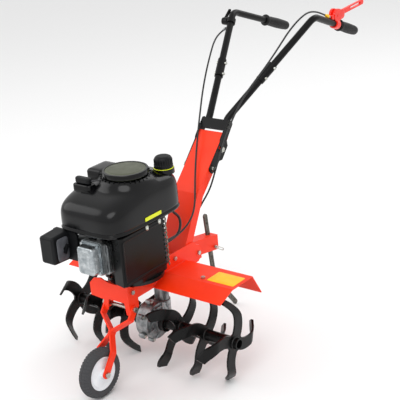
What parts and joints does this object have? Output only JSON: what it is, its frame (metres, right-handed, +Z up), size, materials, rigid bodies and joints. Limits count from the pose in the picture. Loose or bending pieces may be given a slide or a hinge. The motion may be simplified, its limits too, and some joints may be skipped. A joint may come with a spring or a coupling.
{
  "type": "garden tiller",
  "caption": "Petrol front-tine tiller: sheet-metal frame, vertical engine, gearbox, curved tine stars, folding front wheel, drag stake and tube handlebars.",
  "frame": {"origin": "middle of the footprint box on the ground, under the machine's centre plane", "axes": "+X is the machine's left, -Y is forward over the front wheel, +Z is up"},
  "size_m": [0.636, 1.3755, 0.9333],
  "materials": {
    "orange_paint": "gloss powder coat",
    "black_paint": "semi-gloss",
    "tine_paint": "worn black paint on forged steel",
    "zinc_steel": "zinc plated",
    "machined_steel": "turned",
    "bronze": "cast and cut",
    "cast_aluminium": "sand cast, matt",
    "engine_black": "gloss black",
    "cowl_black": "high gloss",
    "starter_olive": "satin",
    "cleaner_grey": "fine grain",
    "tank_plastic": "moulded",
    "grip_rubber": "moulded",
    "belt_rubber": "fabric covered",
    "hose_rubber": "smooth",
    "tyre_rubber": "matt",
    "wheel_white": "moulded",
    "lever_red": "moulded",
    "ceramic": "rubber boot"
  },
  "bodies": {
    "frame": {"deck": "orange_paint", "front_plate": "orange_paint", "steering_column": "orange_paint", "side_plates": "orange_paint", "fender_left": "orange_paint", "fender_right": "orange_paint", "stake_socket": "orange_paint", "frame_bolts": "zinc_steel", "gearbox_left_half": "cast_aluminium", "gearbox_right_half": "cast_aluminium", "gearbox_bearings": "machined_steel", "drive_belt": "belt_rubber", "crankcase": "engine_black", "cylinder": "cast_aluminium", "valve_cover": "cast_aluminium", "muffler": "black_paint", "muffler_guard": "black_paint", "shroud": "cowl_black", "starter_housing": "starter_olive", "fuel_tank": "tank_plastic", "carburettor": "cast_aluminium", "air_cleaner_base": "cleaner_grey", "air_cleaner_cover": "cleaner_grey", "spark_plug": "ceramic", "breather_hose": "hose_rubber", "clutch_cable": "hose_rubber", "throttle_cable": "hose_rubber", "drag_stake": "tine_paint"},
    "rotor": {"tine_shaft": "machined_steel", "worm_wheel": "bronze", "hub_left": "tine_paint", "hub_right": "tine_paint", "hub_pins": "zinc_steel", "tine_star_left_inner": "tine_paint", "tine_star_left_middle": "tine_paint", "tine_star_left_outer": "tine_paint", "tine_star_right_inner": "tine_paint", "tine_star_right_middle": "tine_paint", "tine_star_right_outer": "tine_paint"},
    "worm": {"worm_shaft": "machined_steel", "driven_pulley": "machined_steel"},
    "crank": {"crankshaft": "machined_steel", "drive_pulley": "machined_steel", "flywheel": "cast_aluminium"},
    "idler_arm": {"idler_arm": "zinc_steel"},
    "idler": {"idler_pulley": "machined_steel"},
    "front_fork": {"wheel_fork": "orange_paint", "fork_bolts": "zinc_steel"},
    "front_wheel": {"tyre": "tyre_rubber", "wheel_disc": "wheel_white"},
    "handlebars": {"handle_bracket": "black_paint", "handle_bolts": "zinc_steel", "handle_tubes": "black_paint", "grips": "grip_rubber", "lever_clamps": "lever_red"},
    "clutch_lever": {"clutch_lever": "lever_red"},
    "throttle_lever": {"throttle_lever": "lever_red"},
    "starter_handle": {"starter_handle": "cleaner_grey"},
    "fuel_cap": {"fuel_cap": "tank_plastic"},
    "stake_pin": {"stake_pin": "zinc_steel"}
  },
  "joints": [
    {"name": "tine_spin", "type": "hinge", "parent": "frame", "child": "rotor", "pos_m": [0, -0.3623, 0.132], "axis": [1, 0, 0], "continuous": true},
    {"name": "worm_spin", "type": "hinge", "parent": "frame", "child": "worm", "pos_m": [0, -0.3143, 0.132], "axis": [0, 0, 1], "continuous": true},
    {"name": "crank_spin", "type": "hinge", "parent": "frame", "child": "crank", "pos_m": [0, -0.4153, 0.4], "axis": [0, 0, 1], "continuous": true},
    {"name": "clutch_squeeze", "type": "hinge", "parent": "handlebars", "child": "clutch_lever", "pos_m": [0.148, 0.5057, 0.889], "axis": [-1, 0, 0], "range_deg": [0, 20], "stiffness_Nm_per_rad": 1.2, "springref_deg": -14.32},
    {"name": "idler_swing", "type": "hinge", "parent": "frame", "child": "idler_arm", "pos_m": [0.026, -0.3903, 0.29], "axis": [0, 0, 1], "range_deg": [-16, 0]},
    {"name": "idler_spin", "type": "hinge", "parent": "idler_arm", "child": "idler", "pos_m": [0.008, -0.3703, 0.279], "axis": [0, 0, 1], "continuous": true},
    {"name": "fork_fold", "type": "hinge", "parent": "frame", "child": "front_fork", "pos_m": [0, -0.4973, 0.238], "axis": [-1, 0, 0], "range_deg": [0, 55]},
    {"name": "wheel_spin", "type": "hinge", "parent": "front_fork", "child": "front_wheel", "pos_m": [0, -0.6128, 0.075], "axis": [1, 0, 0], "continuous": true},
    {"name": "handle_tilt", "type": "hinge", "parent": "frame", "child": "handlebars", "pos_m": [0, -0.0813, 0.53], "axis": [1, 0, 0], "range_deg": [-8, 8], "deforming": ["clutch_cable", "throttle_cable"]},
    {"name": "throttle_turn", "type": "hinge", "parent": "handlebars", "child": "throttle_lever", "pos_m": [-0.1457, 0.327, 0.8874], "axis": [1, 0, 0], "range_deg": [-30, 25]},
    {"name": "starter_pull", "type": "slide", "parent": "frame", "child": "starter_handle", "axis": [-1, 0, 0], "range_m": [0, 0.25], "stiffness_N_per_m": 20, "springref_m": -0.1},
    {"name": "cap_turn", "type": "hinge", "parent": "frame", "child": "fuel_cap", "pos_m": [0.045, -0.3023, 0.6065], "axis": [0, 0, 1], "range_deg": [0, 90]},
    {"name": "pin_turn", "type": "hinge", "parent": "frame", "child": "stake_pin", "pos_m": [0, -0.06472, 0.258], "axis": [1, 0, 0], "range_deg": [-60, 120]}
  ],
  "couplings": [
    {"joint": "worm_spin", "follows": "tine_spin", "ratio": -24},
    {"joint": "idler_swing", "follows": "clutch_squeeze", "ratio": -0.75}
  ]
}
